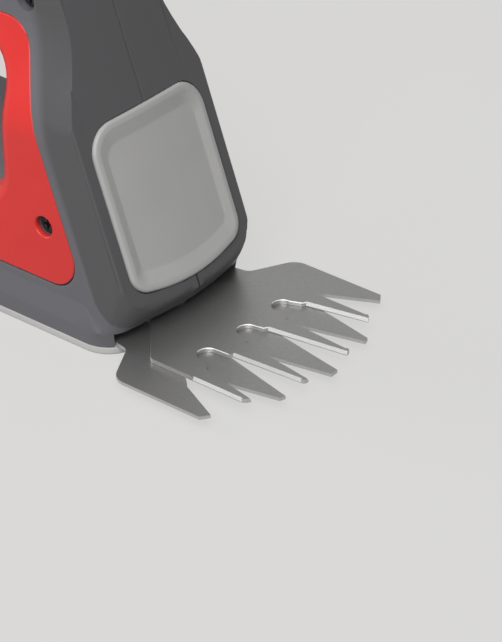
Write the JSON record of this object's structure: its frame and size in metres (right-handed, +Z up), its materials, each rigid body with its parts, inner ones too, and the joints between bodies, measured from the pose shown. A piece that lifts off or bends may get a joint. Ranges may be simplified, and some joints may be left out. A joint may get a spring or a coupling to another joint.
{
  "type": "cordless grass shears",
  "caption": "Cordless grass shears: a loop-handled body on a flat sole, with a fixed toothed blade and a swinging toothed blade driven by a crank.",
  "frame": {"origin": "where the blade pivot's axis meets the ground under the sole", "axes": "-Y ahead along the teeth, +Z up along the blade pivot's axis, X across the body"},
  "size_m": [0.08, 0.2074, 0.1146],
  "materials": {
    "dark_shell": "finely grained dark grey moulding",
    "red_panel": "satin red moulding",
    "light_panel": "satin light grey moulding",
    "pale_sole": "pale grey moulding",
    "soft_grip": "soft matt grip",
    "blade_steel": "fine ground grain, bright bevels",
    "bright_steel": "turned or pressed steel",
    "gear_nylon": "natural moulded gear plastic",
    "bronze": "plain turned bearing metal",
    "black_plastic": "black moulding",
    "pressed_aluminium": "pressed plate",
    "motor_can": "plated can",
    "cell_can": "wrapped can",
    "board_green": "lacquered board",
    "clear_lens": "clear light pipe",
    "red_button": "satin red moulding",
    "dark_screw": "blackened steel"
  },
  "bodies": {
    "body": {"housing_right": "dark_shell", "housing_left": "dark_shell", "side_panel_right": "red_panel", "side_panel_left": "red_panel", "front_panel": "light_panel", "sole_plate": "pale_sole", "grip_saddle": "soft_grip", "fixed_blade": "blade_steel", "pivot_pin": "blade_steel", "pivot_washer": "blade_steel", "blade_screws": "bright_steel", "crank_bearing": "bronze", "gear_frame": "black_plastic", "gear_bridge": "pressed_aluminium", "gear_screws": "bright_steel", "motor": "motor_can", "motor_end_cap": "black_plastic", "battery_cell": "cell_can", "cell_tabs": "bright_steel", "circuit_board": "board_green", "charge_socket": "black_plastic", "status_lens": "clear_lens", "trigger_pin": "bright_steel", "trigger_spring": "bright_steel", "micro_switch": "black_plastic", "lock_spring": "bright_steel", "housing_screws": "dark_screw", "sole_screws": "dark_screw"},
    "moving_blade": {"moving_blade": "blade_steel"},
    "crank": {"crank_wheel": "gear_nylon", "drive_bush": "bronze"},
    "pinion": {"motor_shaft": "bright_steel", "motor_pinion": "bronze"},
    "trigger": {"trigger": "black_plastic"},
    "lock_button": {"lock_button": "red_button"}
  },
  "joints": [
    {"name": "blade_swing", "type": "hinge", "parent": "body", "child": "moving_blade", "pos_m": [0, 0, 0.0047], "axis": [0, 0, 1], "range_deg": [-9.62, 9.62]},
    {"name": "crank_spin", "type": "hinge", "parent": "body", "child": "crank", "pos_m": [0, 0.023, 0.0075], "axis": [0, 0, 1], "range_deg": [-90, 90]},
    {"name": "pinion_spin", "type": "hinge", "parent": "body", "child": "pinion", "pos_m": [0, 0.035, 0.01451], "axis": [0, 1, 0], "range_deg": [-330, 330]},
    {"name": "trigger_pull", "type": "hinge", "parent": "body", "child": "trigger", "pos_m": [0, 0.052, 0.087], "axis": [1, 0, 0], "range_deg": [0, 8], "stiffness_Nm_per_rad": 0.25, "springref_deg": -11.46, "deforming": ["trigger_spring"]},
    {"name": "lock_press", "type": "slide", "parent": "body", "child": "lock_button", "axis": [0, 0, -1], "range_m": [0, 0.003], "stiffness_N_per_m": 300, "springref_m": -0.004, "deforming": ["lock_spring"]}
  ],
  "couplings": [
    {"joint": "crank_spin", "follows": "blade_swing", "ratio": 9.3555},
    {"joint": "pinion_spin", "follows": "blade_swing", "ratio": 34.303}
  ]
}
